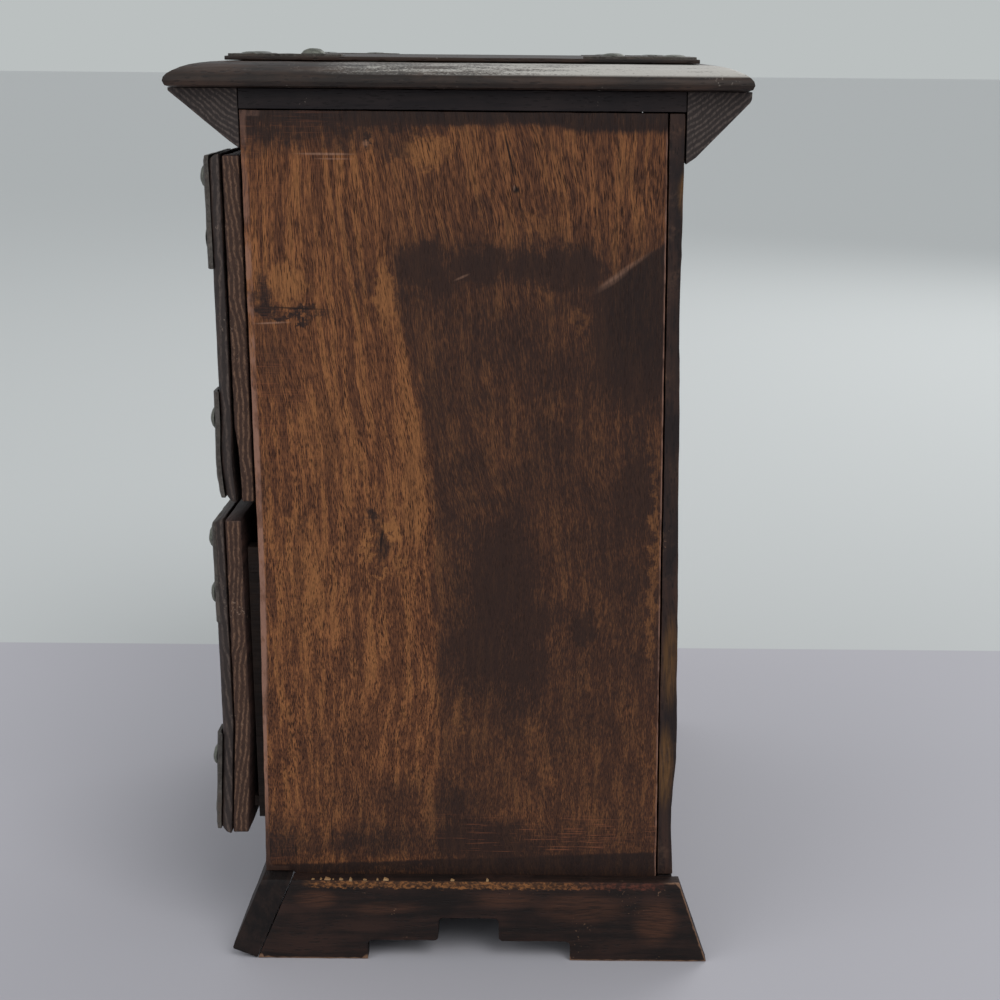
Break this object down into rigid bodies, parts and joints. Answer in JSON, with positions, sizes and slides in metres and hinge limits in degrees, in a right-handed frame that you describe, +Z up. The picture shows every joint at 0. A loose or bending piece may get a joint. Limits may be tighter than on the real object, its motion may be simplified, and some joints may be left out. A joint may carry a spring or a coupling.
{
  "type": "jewellery chest with drawers",
  "caption": "Small upright wooden jewellery chest with stacked overlay drawers, iron corner plates, dome nails, ring pulls, a cornice and a splayed stepped base.",
  "frame": {"origin": "on the floor under the middle of the chest", "axes": "+Z up, drawers open towards -Y, X across the front"},
  "size_m": [0.236, 0.1968, 0.3372],
  "materials": {
    "side_panel_wood": "worn brown stain and wax, vertical grain with short pores",
    "dark_wood": "near-black brown stain, satin wax, worn arrises",
    "inner_wood": "thin brown stain",
    "drawer_box_wood": "raw to lightly oiled boards",
    "wrought_iron": "blackened hand-worked sheet and wire, slightly greenish grey"
  },
  "bodies": {
    "carcass": {"back_base_board": "dark_wood", "back_board": "dark_wood", "back_cornice": "dark_wood", "base_corner_blocks": "inner_wood", "carcass_bottom": "inner_wood", "carcass_top": "dark_wood", "divider_shelf": "inner_wood", "front_base_board": "dark_wood", "front_cornice": "dark_wood", "front_rail": "inner_wood", "raised_top_panel": "dark_wood", "side_base_board_left": "dark_wood", "side_base_board_right": "dark_wood", "side_panel_left": "side_panel_wood", "side_panel_right": "side_panel_wood", "top_board": "dark_wood", "top_corner_plates": "wrought_iron", "top_dome_nails": "wrought_iron"},
    "upper_drawer": {"upper_drawer_back": "drawer_box_wood", "upper_drawer_bottom": "drawer_box_wood", "upper_drawer_corner_plates": "wrought_iron", "upper_drawer_dome_nails": "wrought_iron", "upper_drawer_front_backing": "dark_wood", "upper_drawer_front_panel": "dark_wood", "upper_drawer_pull_plate": "wrought_iron", "upper_drawer_pull_staple": "wrought_iron", "upper_drawer_side_left": "drawer_box_wood", "upper_drawer_side_right": "drawer_box_wood"},
    "upper_pull": {"upper_drawer_pull_ring": "wrought_iron"},
    "lower_drawer": {"lower_drawer_back": "drawer_box_wood", "lower_drawer_bottom": "drawer_box_wood", "lower_drawer_corner_plates": "wrought_iron", "lower_drawer_dome_nails": "wrought_iron", "lower_drawer_front_backing": "dark_wood", "lower_drawer_front_panel": "dark_wood", "lower_drawer_pull_plate": "wrought_iron", "lower_drawer_pull_staple": "wrought_iron", "lower_drawer_side_left": "drawer_box_wood", "lower_drawer_side_right": "drawer_box_wood"},
    "lower_pull": {"lower_drawer_pull_ring": "wrought_iron"}
  },
  "joints": [
    {"name": "upper_drawer_slide", "type": "slide", "parent": "carcass", "child": "upper_drawer", "axis": [0, -1, 0], "range_m": [0, 0.105]},
    {"name": "lower_drawer_slide", "type": "slide", "parent": "carcass", "child": "lower_drawer", "axis": [0, -1, 0], "range_m": [-0.0034, 0.1]},
    {"name": "upper_pull_hinge", "type": "hinge", "parent": "upper_drawer", "child": "upper_pull", "pos_m": [0, -0.0889, 0.2411], "axis": [-1, 0, 0], "range_deg": [0, 170]},
    {"name": "lower_pull_hinge", "type": "hinge", "parent": "lower_drawer", "child": "lower_pull", "pos_m": [0, -0.0939, 0.111], "axis": [-1, 0, 0], "range_deg": [0, 170]}
  ]
}
